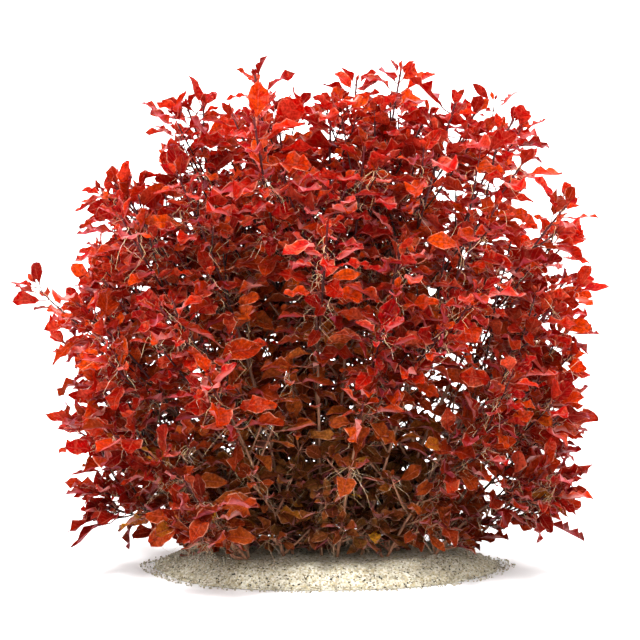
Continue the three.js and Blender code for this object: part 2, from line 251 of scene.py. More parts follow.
def sand_grains(rng):
    """Loose grains: small lumps of eight points, squashed boxes with each corner pushed in or out."""
    angle = rng.uniform(0, 2 * np.pi, GRAINS)
    loose = int(LOOSE_SHARE * GRAINS)
    inner = rng.uniform(0.55, 1.0, GRAINS - loose) ** 0.6
    share = np.concatenate([inner, 0.98 + 0.11 * rng.uniform(0, 1, loose) ** 2])
    x = share * sand_edge(angle) * SAND_HALF_WIDTH * np.cos(angle)
    y = share * sand_edge(angle) * SAND_HALF_DEPTH * np.sin(angle)
    size = GRAIN_SIZE * rng.uniform(0.6, 1.5, GRAINS)
    z = np.where(share < 1, np.maximum(sand_height(share, x, y), SAND_EDGE_HEIGHT), 0) + size * 0.45
    centre = np.stack([x, y, z], -1)
    box = np.array([[a, b, c] for c in (-1, 1) for a, b in ((-1, -1), (1, -1), (1, 1), (-1, 1))])
    turn = rng.uniform(0, np.pi, GRAINS)
    lump = box[None] * rng.uniform(0.45, 0.75, (GRAINS, 8, 3)) * size[:, None, None]
    along = lump[..., 0] * np.cos(turn)[:, None] - lump[..., 1] * np.sin(turn)[:, None]
    side = lump[..., 0] * np.sin(turn)[:, None] + lump[..., 1] * np.cos(turn)[:, None]
    points = centre[:, None] + np.stack([along, side, lump[..., 2]], -1)
    faces = np.array([[0, 3, 2, 1], [4, 5, 6, 7], [0, 1, 5, 4], [1, 2, 6, 5], [2, 3, 7, 6], [3, 0, 4, 7]])
    quads = faces[None] + 8 * np.arange(GRAINS)[:, None, None]
    return points.reshape(-1, 3), quads.reshape(-1, 4)


def srgb(red, green, blue):
    """Screen values of 0 to 255 as the linear values that shaders use."""
    c = np.array([red, green, blue]) / 255
    return tuple(np.where(c <= 0.04045, c / 12.92, ((c + 0.055) / 1.055) ** 2.4).tolist())


def painted(steps):
    """Colour steps whose colours are screen values, as the linear ones that a ramp takes."""
    return [(place, srgb(*colour)) for place, colour in steps]


def colour_steps(tree, steps, source, interpolation="LINEAR"):
    """A colour ramp with (place, colour) steps, fed by source."""
    node = node_of(tree, "ValToRGB", {"Fac": source})
    ramp = node.color_ramp
    ramp.interpolation = interpolation
    while len(ramp.elements) < len(steps):
        ramp.elements.new(0.5)
    for element, (place, colour) in zip(ramp.elements, steps):
        element.position = place
        element.color = (*colour, 1)
    return node.outputs["Color"]


def own_place(tree):
    """The point's place in the object's own coordinates."""
    return node_of(tree, "TexCoord").outputs["Object"]


def noise(tree, place, scale, detail):
    """Soft noise of 0 to 1 at a place."""
    values = {"Vector": place, "Scale": scale, "Detail": detail}
    return node_of(tree, "TexNoise", values).outputs["Fac"]


def mixed(tree, first, second, share, blend="MIX"):
    """Two colours mixed by a share, which is a number or a socket. Colours are sockets or tuples."""
    first, second = ((*c, 1) if isinstance(c, tuple) else c for c in (first, second))
    values = {"A": first, "B": second, "Factor": share}
    return node_of(tree, "Mix", values, data_type="RGBA", blend_type=blend).outputs["Result"]


def bumps(tree, height, strength, distance, inwards=False):
    """A normal with fine relief from a height."""
    values = {"Height": height, "Strength": strength, "Distance": distance}
    return node_of(tree, "Bump", values, invert=inwards).outputs["Normal"]


def sand_material():
    """Cells the size of a grain, each cream, tan, grey or dark, rounded by a bump and shaded in patches."""
    tree, shader, _ = new_material("sand_grains")
    place = own_place(tree)
    grain = node_of(tree, "TexVoronoi", {"Vector": place, "Scale": 950.0})
    split = node_of(tree, "SeparateColor", {"Color": grain.outputs["Color"]})
    colour = colour_steps(tree, painted(GRAIN_COLOURS), split.outputs["Red"], "CONSTANT")
    shades = [(0.3, (0.6, 0.58, 0.54)), (0.7, (0.88, 0.88, 0.88))]
    shade = colour_steps(tree, shades, noise(tree, place, 60.0, 3.0))
    base = mixed(tree, colour, shade, 1.0, "MULTIPLY")
    relief = bumps(tree, grain.outputs["Distance"], 0.8, 0.0004, inwards=True)
    feed(tree, shader, {"Base Color": base, "Roughness": 0.85, "Normal": relief})


sand_material()
surface_points, surface_quads = sand_surface()
grain_points, grain_quads = sand_grains(np.random.default_rng(GRAIN_SEED))
sand = new_piece(
    "sand_patch",
    np.concatenate([surface_points, grain_points]),
    np.concatenate([surface_quads, grain_quads + len(surface_points)]),
    ["sand_grains"],
)
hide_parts("sand_bed")
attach(sand, "root")

# The stems: thin dark maroon shoots that fan out of the sand, each rooted in its own spot. A plant has one
# main stem, and side shoots that break from its joints. They follow the same curves as the solids.
PLANTS = sum(name.startswith("plant_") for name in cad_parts)
CROWN_CENTRE_HEIGHT = 95 * MM  # the point that the fan of shoots is measured from
CROWN_HALF_DEPTH = 104 * MM
LOWEST_FAN_ANGLE = 118  # degrees from straight up, in the clump's middle plane
LOW_PLANTS_FAN_ANGLE = 95  # the same, for the plants furthest in front and behind
DEEPEST_PLANT = 0.94  # share of the half depth
LOW_PLANTS_FROM = 0.45  # share of the half depth past which plants get lower
LOW_PLANTS_DROP = 0.5
PLANTS_BACK = 10 * MM
PLANT_SWAY = 8  # degrees between the most that plants lean either way
FAN_POWER = 1.3  # above 1, it crowds the shoots towards the top of the fan
CROWN_ROUNDING = 0.5
LEAST_FULLNESS = 0.84  # how near the shortest stems come to the outline
LEAF_BEYOND_TIP = 9 * MM
GROWTH_SEED = 45
GOLDEN_SHARE = 0.618034
# How far the crown's outline reaches from its centre, every 20 degrees from low left to low right
OUTLINE_STEP = 20
OUTLINE_REACH = np.array([132, 150, 160, 173, 201, 207, 237, 218, 228, 223, 199, 169, 168, 158, 134]) * MM
OUTLINE_ANGLES = OUTLINE_STEP * (np.arange(len(OUTLINE_REACH)) - (len(OUTLINE_REACH) - 1) / 2)
FEET_WIDTH_SHARE = 0.86
FEET_DEPTH_SHARE = 0.6
FEET_ROUNDING = 0.8
FOOT_HEIGHT = 3.6 * MM
BEND_ACROSS = 0.36  # where a stem's curve is drawn to, as shares of its run
BEND_UP = 0.56
BEND_ARCH = 0.12
STEM_FOOT = 1.05 * MM
STEM_TIP = 0.6 * MM
SIDE_SHOOT_SHARE = 0.4
SIDE_SHOOT_SPREAD = 0.62
MOST_JOINTS = 40
# The twigs of a stem: how many there are, the shares of its run that they start between, their shortest and
# longest lengths, how far they lean out, and how far inside the outline their tips end, as shares
TWIG_INSET = (-0.05, 0.28)
LOW_TWIG_INSET = (0.12, 0.42)
CROWN_TWIGS = dict(count=7, run=(0.44, 0.9), lengths=(30 * MM, 84 * MM), spread=0.5, inset=TWIG_INSET)
STRONG_TWIGS = dict(count=3, run=(0.2, 0.8), lengths=(22 * MM, 56 * MM), spread=0.6, inset=TWIG_INSET)
LOW_TWIGS = dict(count=6, run=(0.08, 0.46), lengths=(22 * MM, 50 * MM), spread=1.1, inset=LOW_TWIG_INSET)
FOOT_TWIGS = dict(count=3, run=(0.03, 0.13), lengths=(16 * MM, 34 * MM), spread=1.6, inset=LOW_TWIG_INSET)
TWIG_OVERSHOOT = 22 * MM
HIGHEST_TWIG = 284 * MM
TWIG_CUTS = 7
# Stem colours from a tip to a foot
STEM_BY_AGE = [(0.0, (84, 12, 20)), (0.4, (44, 8, 9)), (1.0, (64, 34, 20))]


def chance(plant, item, use):
    """A repeatable number from 0 to 1, as the solids use: the fraction part of a large sine."""
    s = np.sin(plant * 12.9898 + item * 78.233 + use * 37.719 + GROWTH_SEED) * 43758.5453
    return s - np.floor(s)


def unit(v):
    """Vectors along the last axis, made one long."""
    return v / np.linalg.norm(v, axis=-1, keepdims=True)


def turned(v, axis, angle):
    """Vectors turned about unit axes by angles: the part along the axis stays, the rest turns with it."""
    angle = np.asarray(angle)[..., None]
    along = (v * axis).sum(-1, keepdims=True) * axis
    return along + (v - along) * np.cos(angle) + np.cross(axis, v) * np.sin(angle)


class Shoot:
    """A stem along a quadratic curve from foot to tip: (1-t)^2 foot + 2t(1-t) bend + t^2 tip."""

    def __init__(self, foot, bend, tip, reference, foot_size, tip_size):
        self.foot, self.bend, self.tip, self.reference = foot, bend, tip, reference
        self.foot_size, self.tip_size = foot_size, tip_size
        reaches = [np.linalg.norm(foot - tip), np.linalg.norm(foot - bend), np.linalg.norm(bend - tip)]
        self.length = (2 * reaches[0] + reaches[1] + reaches[2]) / 3

    def frames(self, t):
        """Point, direction, right and back at each share t of the way, and half the thickness there."""
        t = np.atleast_1d(t)[:, None]
        point = self.foot * (1 - t) ** 2 + self.bend * 2 * t * (1 - t) + self.tip * t**2
        up = unit((self.bend - self.foot) * (1 - t) + (self.tip - self.bend) * t)
        right = unit(self.reference - (up @ self.reference)[:, None] * up)
        size = (self.foot_size + (self.tip_size - self.foot_size) * t)[:, 0]
        return point, up, right, np.cross(up, right), size


def side_normals(right, back, side):
    """The outward direction of sides 0 to 3: front, right, back and left of the stem's own frame."""
    side = np.asarray(side)[..., None]
    normal = np.where(side % 2 == 1, right, back)
    return np.where((side == 0) | (side == 3), -normal, normal)


def main_stem(plant):
    """The stem from its foot in the sand to its tip on the crown. Plants are spread evenly in depth, and
    over the fan of angles in steps of the golden share. The outline's reach at its angle places a tip."""
    across = 2 * ((plant * GOLDEN_SHARE) % 1) - 1
    depth = DEEPEST_PLANT * ((2 * (plant + 0.5)) / PLANTS - 1)
    low = max(abs(depth) - LOW_PLANTS_FROM, 0) / (DEEPEST_PLANT - LOW_PLANTS_FROM)
    centre_height = CROWN_CENTRE_HEIGHT * (1 - LOW_PLANTS_DROP * low)
    widest = LOWEST_FAN_ANGLE + (LOW_PLANTS_FAN_ANGLE - LOWEST_FAN_ANGLE) * low
    fan = widest * np.sign(across) * abs(across) ** FAN_POWER
    tilt = np.arcsin(depth) + np.radians(PLANT_SWAY * (chance(plant, 0, 1) - 0.5))
    swayed = fan + PLANT_SWAY * (chance(plant, 0, 2) - 0.5)
    fullness = LEAST_FULLNESS + (1 - LEAST_FULLNESS) * chance(plant, 0, 3)
    outline = np.interp(swayed, OUTLINE_ANGLES, OUTLINE_REACH)
    reach = (outline - LEAF_BEYOND_TIP) * fullness * np.cos(tilt) ** CROWN_ROUNDING
    aim = np.radians(swayed)
    tip = np.array([
        reach * np.sin(aim),
        PLANTS_BACK + CROWN_HALF_DEPTH * fullness * np.sin(tilt),
        centre_height + reach * np.cos(aim),
    ])
    row_width = np.sqrt(1 - depth * depth * FEET_ROUNDING)
    foot = np.array([
        FEET_WIDTH_SHARE * SAND_HALF_WIDTH * (fan / LOWEST_FAN_ANGLE) * row_width,
        PLANTS_BACK + FEET_DEPTH_SHARE * SAND_HALF_DEPTH * depth,
        FOOT_HEIGHT,
    ])
    run = tip - foot
    arch = BEND_ARCH * np.hypot(run[0], run[1])
    bend = foot + np.array([BEND_ACROSS * run[0], BEND_ACROSS * run[1], BEND_UP * run[2] + arch])
    lean = np.arctan2(run[1], run[0])
    level = np.array([-np.sin(lean), np.cos(lean), 0.0])
    reference = turned(level, unit(run), np.radians(90 * chance(plant, 0, 4)))
    return Shoot(foot, bend, tip, reference, STEM_FOOT, STEM_TIP)


def side_shoot(stem, start, side, length, spread):
    """A shoot from one side of a stem, at share start of its run, that leans out by spread and then up."""
    point, up, right, back, size = (values[0] for values in stem.frames(start))
    normal = side_normals(right, back, side)
    away = unit(spread * normal + up)
    foot = point + normal * size
    bend = foot + away * length / 2
    tip = bend + unit(away + np.array([0, 0, 0.35])) * length / 2
    along = (right, back, -right, -back)[side]
    return Shoot(foot, bend, tip, along, size * 0.75, STEM_TIP)


def strong_side_shoot(plant, main):
    """The side shoot that the solid has. It breaks at 0.38 to 0.58 of the main stem's run, from the side
    that faces most outwards after a swing."""
    start = 0.38 + 0.2 * chance(plant, 0, 5)
    point, _, right, back, _ = (values[0] for values in main.frames(start))
    outwards = unit(np.array([point[0], 1.6 * point[1], 0]))
    swing = 2 * np.pi * chance(plant, 0, 6)
    outwards = outwards + np.array([0.8 * np.cos(swing), 0.8 * np.sin(swing), 0])
    side = int(np.argmax([side_normals(right, back, s) @ outwards for s in range(4)]))
    length = main.length * SIDE_SHOOT_SHARE * (0.85 + 0.3 * chance(plant, 0, 7))
    return side_shoot(main, start, side, length, SIDE_SHOOT_SPREAD)


def crown_share(points):
    """How far out points are in the clump, 0 in its middle and 1 on its outside: the root of the squares of
    the distance over the outline's reach that way, and of the depth over the half depth."""
    rise = points[..., 2] - CROWN_CENTRE_HEIGHT
    angle = np.degrees(np.arctan2(points[..., 0], rise))
    reach = np.interp(angle, OUTLINE_ANGLES, OUTLINE_REACH)
    deep = (points[..., 1] - PLANTS_BACK) / CROWN_HALF_DEPTH
    return np.sqrt((np.hypot(points[..., 0], rise) / reach) ** 2 + deep**2)


def twigs(plant, stem, first, count, run, lengths, spread, inset):
    """Short shoots, evenly spread over a stem's run and numbered from first. None grows past the stem's tip
    by more than TWIG_OVERSHOOT, and each is cut back, nearly a fifth at a time, until its tip is below
    HIGHEST_TWIG and inside the outline."""
    found = []
    for k in range(first, first + count):
        start = run[0] + (run[1] - run[0]) * (k - first + chance(plant, k, 31)) / count
        length = lengths[0] + (lengths[1] - lengths[0]) * chance(plant, k, 33)
        length = min(length, (1 - start) * stem.length + TWIG_OVERSHOOT)
        side = int(4 * chance(plant, k, 32))
        furthest = 1 - inset[0] - (inset[1] - inset[0]) * chance(plant, k, 35)
        for _ in range(TWIG_CUTS):
            twig = side_shoot(stem, start, side, length, spread * (0.75 + 0.5 * chance(plant, k, 34)))
            if crown_share(twig.tip) < furthest and twig.tip[2] < HIGHEST_TWIG:
                break
            length *= 0.82
        found.append(twig)
    return found


def joint_depth(spacing):
    """How far below the tip each joint stands: close together there, and even lower down. The step below
    joint n is spacing * (1 - 0.75 * exp(-n / 2.2))."""
    steps = spacing * (1 - 0.75 * np.exp(-np.arange(MOST_JOINTS) / 2.2))
    return 1.5 * MM + np.concatenate([[0], np.cumsum(steps)[:-1]])


def stem_tube(shoot, joints, thick):
    """A round tube along the shoot. It swells by a third at a joint, as exp(-(distance / 0.8 mm)^2), and a
    thick one has rings there to show it. Returns the points, and the rings' ages and distances."""
    near = 1.1 * MM / shoot.length
    sides = 6 if thick else 4
    t = np.linspace(0, 1, 12 if thick else 6)
    if thick:
        t = np.concatenate([t, joints - near, joints, joints + near])
    t = np.unique(np.clip(t, 0, 1).round(4))
    point, _, right, back, size = shoot.frames(t)
    gap = np.abs(t[:, None] - joints[None, :]).min(1) * shoot.length
    radius = size * (1 + 0.35 * np.exp(-((gap / (0.8 * MM)) ** 2)))
    radius[-1] *= 0.3
    angle = -2 * np.pi * np.arange(sides) / sides
    ring = right[:, None] * np.cos(angle)[None, :, None] + back[:, None] * np.sin(angle)[None, :, None]
    points = point[:, None] + ring * radius[:, None, None]
    return points[None], 1 - t, gap / MM


def attribute(tree, name):
    """A number stored on the mesh."""
    return node_of(tree, "Attribute", attribute_name=name).outputs["Fac"]


def eased(tree, value, start, end):
    """0 below start, 1 above end and smooth between. With start above end it falls instead."""
    values = {"Value": value, "From Min": start, "From Max": end}
    return node_of(tree, "MapRange", values, interpolation_type="SMOOTHSTEP").outputs["Result"]


def tinted(tree, base, colour, mask, strength):
    """A colour moved towards another, given in screen values, by a mask of 0 to 1 times a strength."""
    return mixed(tree, base, srgb(*colour), maths(tree, "MULTIPLY", mask, strength))


def stem_material():
    """Dark maroon with fine lengthwise streaks, browner at the foot, tan in the gloom, redder at joints."""
    tree, shader, _ = new_material("stem_bark")
    stretched = node_of(tree, "Mapping", {"Vector": own_place(tree), "Scale": (1.0, 1.0, 0.12)})
    streak = noise(tree, stretched.outputs["Vector"], 700.0, 2.0)
    base = colour_steps(tree, painted(STEM_BY_AGE), attribute(tree, "age"))
    base = tinted(tree, base, (150, 104, 78), eased(tree, attribute(tree, "gloom"), 0.3, 0.8), 0.8)
    base = tinted(tree, base, (104, 44, 30), eased(tree, attribute(tree, "along"), 1.0, 0.0), 0.4)
    base = tinted(tree, base, (20, 5, 5), eased(tree, streak, 0.45, 0.7), 0.6)
    relief = bumps(tree, streak, 0.4, 0.0002)
    feed(tree, shader, {"Base Color": base, "Roughness": 0.5, "Specular IOR Level": 0.25, "Normal": relief})


stem_material()

# The leaves: thin ovate blades with a drawn-out point, on slender stalks, in opposite pairs that cross from
# joint to joint. Young ones crowd round the tip. Their skin is satin, crimson above, with orange-red light
# shining through it. Each leaf is one closed shell, a tube flattened to a blade.
BLADE_LENGTH = 22 * MM
LONGEST_BLADE = 27 * MM
BLADE_WIDTH_SHARE = 0.52
BLADE_RISE = 1.25  # the power that a blade's width grows from its base with
BLADE_THICKNESS = 0.2 * MM
STALK_SHARE = 0.32
STALK_RADIUS = 0.36 * MM
LOWEST_LEAF = 13 * MM
FRONT_LEAVES_FROM = 22 * MM  # in front of this, leaves stay above a slope of FRONT_LEAF_RISE
FRONT_LEAF_RISE = 0.3
SOLID_JOINTS = {"main": (1, 3, 6, 11), "strong": (1, 4)}
FINE_FROM = 13 * MM
PLAIN_FROM = 9.5 * MM
# Ring places along a leaf: below zero they are shares of the stalk, and from zero on shares of the blade.
# Places round a ring go from the left margin over the upper face to the right margin, and back beneath.
LEAF_RINGS = {
    "fine": np.array([-1.04, -0.4, 0.04, 0.17, 0.3, 0.43, 0.56, 0.69, 0.82, 0.94]),
    "plain": np.array([-1.04, -0.4, 0.05, 0.2, 0.34, 0.48, 0.62, 0.77, 0.92]),
    "small": np.array([-1.04, 0.02, 0.2, 0.42, 0.67, 0.92]),
}
RING_ACROSS = np.array([-1.0, 0, 1, 0])
RING_SIDE = np.array([0, 1, 0, -1])
LEAF_BY_AGE = [
    (0.0, (150, 14, 32)),
    (0.2, (186, 10, 14)),
    (0.5, (192, 26, 4)),
    (0.8, (170, 44, 2)),
    (1.0, (124, 50, 18)),
]
# What each leaf's own shade multiplies its colour by, as linear values
LEAF_SHADES = [
    (0.0, (0.34, 0.24, 0.24)),
    (0.3, (0.66, 0.55, 0.45)),
    (0.65, (1.0, 0.95, 0.9)),
    (1.0, (1.12, 1.3, 1.0)),
]
LEAF_SPECKLES = [(0.36, (0.5, 0.45, 0.45)), (0.64, (1.16, 1.16, 1.16))]


def leaf_postures(plant, item, i, shoot_frames, side, scale, settled):
    """Where each leaf of a shoot springs from and how it is held, by its joint's number i from the tip.
    Youth is exp(-i / 2). Old leaves are long and held out level. Young ones are short, upright and hollow.
    The settled ones are those that the solid has too, and the others roll and droop more freely."""

    def own(use):
        """Each leaf's own repeatable number."""
        return chance(plant, item, use)

    point, up, right, back, size = shoot_frames
    young = np.exp(-i / 2)
    short = np.where(settled, young, np.exp(-i / 1.1))
    length = scale * BLADE_LENGTH * (1 - 0.72 * short) * (0.75 + 0.45 * own(11))
    longer = length * (0.55 + 0.8 * own(23))
    length = np.where(settled, length, np.minimum(longer, LONGEST_BLADE))
    width = length * BLADE_WIDTH_SHARE * (0.88 + 0.24 * own(12))
    width = np.where(settled, width, width * (0.6 + 0.24 * young + 0.42 * own(29)))
    stalk = length * STALK_SHARE * (1 - 0.6 * young)
    stalk = np.where(settled, stalk, stalk * (0.9 + 0.5 * own(30)))
    opening = np.radians(22 + 50 * (1 - np.exp(-i / 3)) + 24 * (own(13) - 0.5))[:, None]
    out = side_normals(right, back, side)
    along = up * np.cos(opening) + out * np.sin(opening)
    droop = np.where(settled, 0.12, 0.5 * own(24) ** 2)
    along[:, 2] -= droop * (1 - young)
    along[:, 2] *= np.where(settled, 1, 1 - 0.7 * (1 - young))
    swing = np.where(settled, 0, 50 * (own(25) - 0.5) * (1 - young))
    along = turned(unit(along), up, np.radians(swing))
    face = np.where(settled, 0.55, 0.3)[:, None] * (up * np.sin(opening) - out * np.cos(opening))
    face[:, 2] += np.where(settled, 0.45, 0.6 + 1.2 * own(46)) * (1 - young)
    face = unit(face - (face * along).sum(-1, keepdims=True) * along)
    lean = own(14) - 0.5
    roll = np.where(settled, 50 * lean, 40 * lean + 300 * lean**3)
    curl = (0.15 + 0.95 * own(15)) * np.where(settled, 1, 0.6)
    return dict(
        root=point + out * size[:, None],
        along=along,
        face=turned(face, along, np.radians(roll)),
        length=length,
        width=width,
        stalk=stalk,
        curl=-0.25 * young + (1 - young) * curl,
        twist=1.9 * (own(16) - 0.5),
        fold=0.08 + 0.55 * own(17) + 0.3 * young,
        wave=(0.05 + 0.11 * own(18)) * (1 - 0.6 * young),
        waves=1.4 + 1.6 * own(26),
        phase=2 * np.pi * own(19),
        bow=0.12 * (own(20) - 0.5),
        sway=0.3 * (own(27) - 0.5) * (1 - young),
        ragged=0.02 + 0.07 * own(28),
        fall=1.0 + 0.7 * own(48),
        luck=own(21),
    )


def leaf_shells(leaf, rings):
    """Points of all leaves at once, as (leaf, ring, place round the ring, xyz).
    The midrib is an arc that bends away from the upper face, with a slight S on it and a sideways sweep of
    sway * s^2. The half width is s^rise * (1 - s)^fall as a share of the most that gives, a little uneven
    on each side. A blade is folded up along its midrib by a share of its half width, waved at its margins
    by a sine along its length, and twisted evenly from base to tip."""
    across, side, margin = RING_ACROSS, RING_SIDE, np.abs(RING_ACROSS)
    each = {key: value[:, None, None] for key, value in leaf.items()}
    length, stalk, fall = each["length"], each["stalk"], each["fall"]
    stalk_radius = STALK_RADIUS * np.sqrt(length / BLADE_LENGTH)
    p = np.clip(rings, None, 0)[:, None] + 1
    s = np.clip(rings, 0, 1)[:, None]
    bend = each["curl"] * s
    curl = np.where(np.abs(each["curl"]) < 1e-4, 1e-4, each["curl"])
    forward = length * np.sin(curl * s) / curl
    drop = length * (1 - np.cos(curl * s)) / curl
    lift = length * each["bow"] * np.sin(2 * np.pi * s) - stalk * 0.12 * np.sin(np.pi * p)
    sweep = length * each["sway"] * s**2
    right = np.cross(each["face"], each["along"])
    centre = each["root"] + each["along"] * (stalk * p + forward)[..., None]
    centre = centre + each["face"] * (lift - drop)[..., None] + right * sweep[..., None]
    normal = each["face"] * np.cos(bend)[..., None] + each["along"] * np.sin(bend)[..., None]
    twist = (each["twist"] * s)[..., None]
    aside = right * np.cos(twist) + normal * np.sin(twist)
    normal = normal * np.cos(twist) - right * np.sin(twist)
    widest = BLADE_RISE / (BLADE_RISE + fall)
    blade = each["width"] / 2 * (s / widest) ** BLADE_RISE * ((1 - s) / (1 - widest)) ** fall
    half = np.maximum(blade, stalk_radius * (1 - 0.85 * s))
    flat = np.clip(1 - blade / (3 * STALK_RADIUS), 0, 1)
    turns = 2 * np.pi * each["waves"] * s + each["phase"]
    uneven = 1 + each["ragged"] * np.sin(1.7 * turns + 2.6 * np.sign(across)) * (1 - flat)
    ripples = length * each["wave"] * np.sqrt(np.sin(np.pi * s))
    rise = half * each["fold"] * margin
    rise = rise + ripples * np.sin(turns + 1.9 * np.sign(across)) * margin**1.5
    rib = stalk_radius * (1 - s) * (margin == 0) * np.where(side < 0, 1, 0.15)
    thick = BLADE_THICKNESS / 2 * np.sqrt(1 - margin**2) + rib
    round_part = stalk_radius * np.sqrt(1 - across**2)
    height = rise * (1 - flat) + side * (thick * (1 - flat) + round_part * flat)
    width = half * across * uneven
    return centre + aside * width[..., None] + normal * height[..., None]


def leaf_pigment(tree, side, cloud, shade):
    """The blade's colour by age, orange or crimson in clouds, oranger towards the margins as painted light
    shining through, paler beneath, brown in the gloom and darkened by painted shade near the sand, where a
    few old leaves are yellow. Last comes the leaf's own shade."""
    luck, gloom = attribute(tree, "luck"), attribute(tree, "gloom")
    base = colour_steps(tree, painted(LEAF_BY_AGE), attribute(tree, "age"))
    hue_and_edge_glow = maths(tree, "MULTIPLY_ADD", cloud, 1.3, maths(tree, "MULTIPLY_ADD", luck, 1.2, -0.92))
    # Painted light: the margins are pushed towards orange, as if light shone through them. The rest of the
    # value is the leaf's own orange or crimson tone.
    hue_and_edge_glow = maths(tree, "MULTIPLY_ADD", maths(tree, "POWER", side, 3.0), 0.18, hue_and_edge_glow)
    base = tinted(tree, base, (230, 84, 4), eased(tree, hue_and_edge_glow, 0.1, 0.9), 0.8)
    base = tinted(tree, base, (160, 8, 26), eased(tree, hue_and_edge_glow, 0.0, -0.5), 0.8)
    base = tinted(tree, base, (216, 96, 74), attribute(tree, "underside"), 0.6)
    base = tinted(tree, base, (202, 110, 42), eased(tree, gloom, 0.05, 0.7), 0.8)
    base = tinted(tree, base, (168, 130, 70), eased(tree, gloom, 0.7, 1.0), 0.85)
    # Painted shade: leaves are darkened towards the sand, as if the canopy above shaded them. The same mask
    # places the few yellow leaves.
    low = eased(tree, upward_part(tree, own_place(tree)), 0.15, 0.02)
    base = tinted(tree, base, (98, 12, 10), low, 0.55)
    yellowed = maths(tree, "MULTIPLY", eased(tree, luck, 0.94, 0.95), eased(tree, low, 0.2, 0.5))
    base = tinted(tree, base, (214, 150, 48), yellowed, 0.85)
    return mixed(tree, base, colour_steps(tree, LEAF_SHADES, shade), 1.0, "MULTIPLY")


def leaf_veins(tree, along, side):
    """A mask of the midrib and of eight fainter pairs of veins, which slant on towards the margin."""
    slanted = maths(tree, "MULTIPLY_ADD", side, -2.0, maths(tree, "MULTIPLY", along, 8.0))
    off_vein = maths(tree, "ABSOLUTE", maths(tree, "SUBTRACT", maths(tree, "FRACT", slanted), 0.5))
    vein = maths(tree, "SUBTRACT", 1.0, eased(tree, off_vein, 0.0, 0.16))
    midrib = maths(tree, "SUBTRACT", 1.0, eased(tree, side, 0.0, 0.13))
    return maths(tree, "MAXIMUM", midrib, maths(tree, "MULTIPLY", vein, 0.45))


def leaf_material():
    """The pigment with paler veins, a painted highlight along patches of the margin, a dark tip and its
    stalk, speckled all over. A slanting view adds a painted pink sheen and a real shine, and over half of
    the light shines through."""
    tree, shader, output = new_material("leaf_skin")
    luck, along, gloom = attribute(tree, "luck"), attribute(tree, "along"), attribute(tree, "gloom")
    side = maths(tree, "ABSOLUTE", attribute(tree, "across"))
    mottle = noise(tree, own_place(tree), 640.0, 3.0)
    cloud = noise(tree, own_place(tree), 130.0, 2.0)
    shade = maths(tree, "FRACT", maths(tree, "MULTIPLY", luck, 7.3))
    veins = leaf_veins(tree, along, side)
    base = leaf_pigment(tree, side, cloud, shade)
    base = tinted(tree, base, (236, 124, 96), veins, 0.4)
    # A painted highlight: a pale line along the margin, in patches, as if light caught the leaf's edge.
    edge = maths(tree, "MULTIPLY", eased(tree, side, 0.84, 1.0), eased(tree, cloud, 0.4, 0.56))
    base = tinted(tree, base, (252, 200, 168), edge, 0.62)
    base = tinted(tree, base, (66, 8, 14), eased(tree, along, 0.86, 1.0), 0.75)
    pale = maths(tree, "MAXIMUM", eased(tree, gloom, 0.05, 0.5), eased(tree, luck, 0.3, 0.6))
    stalk = mixed(tree, srgb(66, 8, 12), srgb(236, 164, 136), pale)
    base = mixed(tree, base, stalk, eased(tree, along, 0.06, -0.06))
    base = mixed(tree, base, colour_steps(tree, LEAF_SPECKLES, mottle), 1.0, "MULTIPLY")
    # A painted sheen: the colour turns pale pink where a blade is seen at a slant, as if it reflected the
    # bright sky.
    slant = node_of(tree, "LayerWeight", {"Blend": 0.5}).outputs["Facing"]
    painted_sheen = mixed(tree, srgb(236, 104, 146), srgb(250, 196, 186), shade)
    sheen_strength = maths(tree, "MULTIPLY_ADD", shade, 0.6, 0.35)
    base = mixed(tree, base, painted_sheen, maths(tree, "MULTIPLY", eased(tree, slant, 0.66, 1.0), sheen_strength))
    height = maths(tree, "SUBTRACT", maths(tree, "MULTIPLY", mottle, 0.5), veins)
    feed(tree, shader, {
        "Base Color": base,
        "Roughness": maths(tree, "MULTIPLY_ADD", mottle, 0.3, 0.18),
        "Specular IOR Level": maths(tree, "MULTIPLY_ADD", eased(tree, slant, 0.5, 1.0), 0.5, 0.02),
        "Specular Tint": (1.0, 0.82, 0.66, 1),
        "Normal": bumps(tree, height, 0.9, 0.0006),
    })
    glow = mixed(tree, srgb(224, 36, 2), base, maths(tree, "MULTIPLY_ADD", gloom, 0.5, 0.5))
    through = node_of(tree, "BsdfTranslucent", {"Color": glow})
    both = node_of(tree, "MixShader", {"Fac": 0.6, 1: shader.outputs["BSDF"], 2: through.outputs["BSDF"]})
    feed(tree, output, {"Surface": both.outputs["Shader"]})


leaf_material()

# The water roots: fine pale tan threads that hang in the water from the joints of the stems. Each is a thin
# four-sided tube that starts on a stem's middle line.
ROOT_RINGS = 5
ROOT_SIDES = 4
ROOT_RADIUS = 0.16 * MM
MOST_ROOTS = 158
ROOTS_FROM_SHARE = 0.42  # how far out in the clump the threads that can be seen begin
LOWEST_ROOT_JOINT = 20 * MM
HIGHEST_ROOT_JOINT = 250 * MM
ROOT_COLOURS = [
    (0.3, (255, 236, 206)),
    (0.44, (240, 190, 144)),
    (0.54, (216, 188, 126)),
    (0.66, (255, 214, 206)),
]


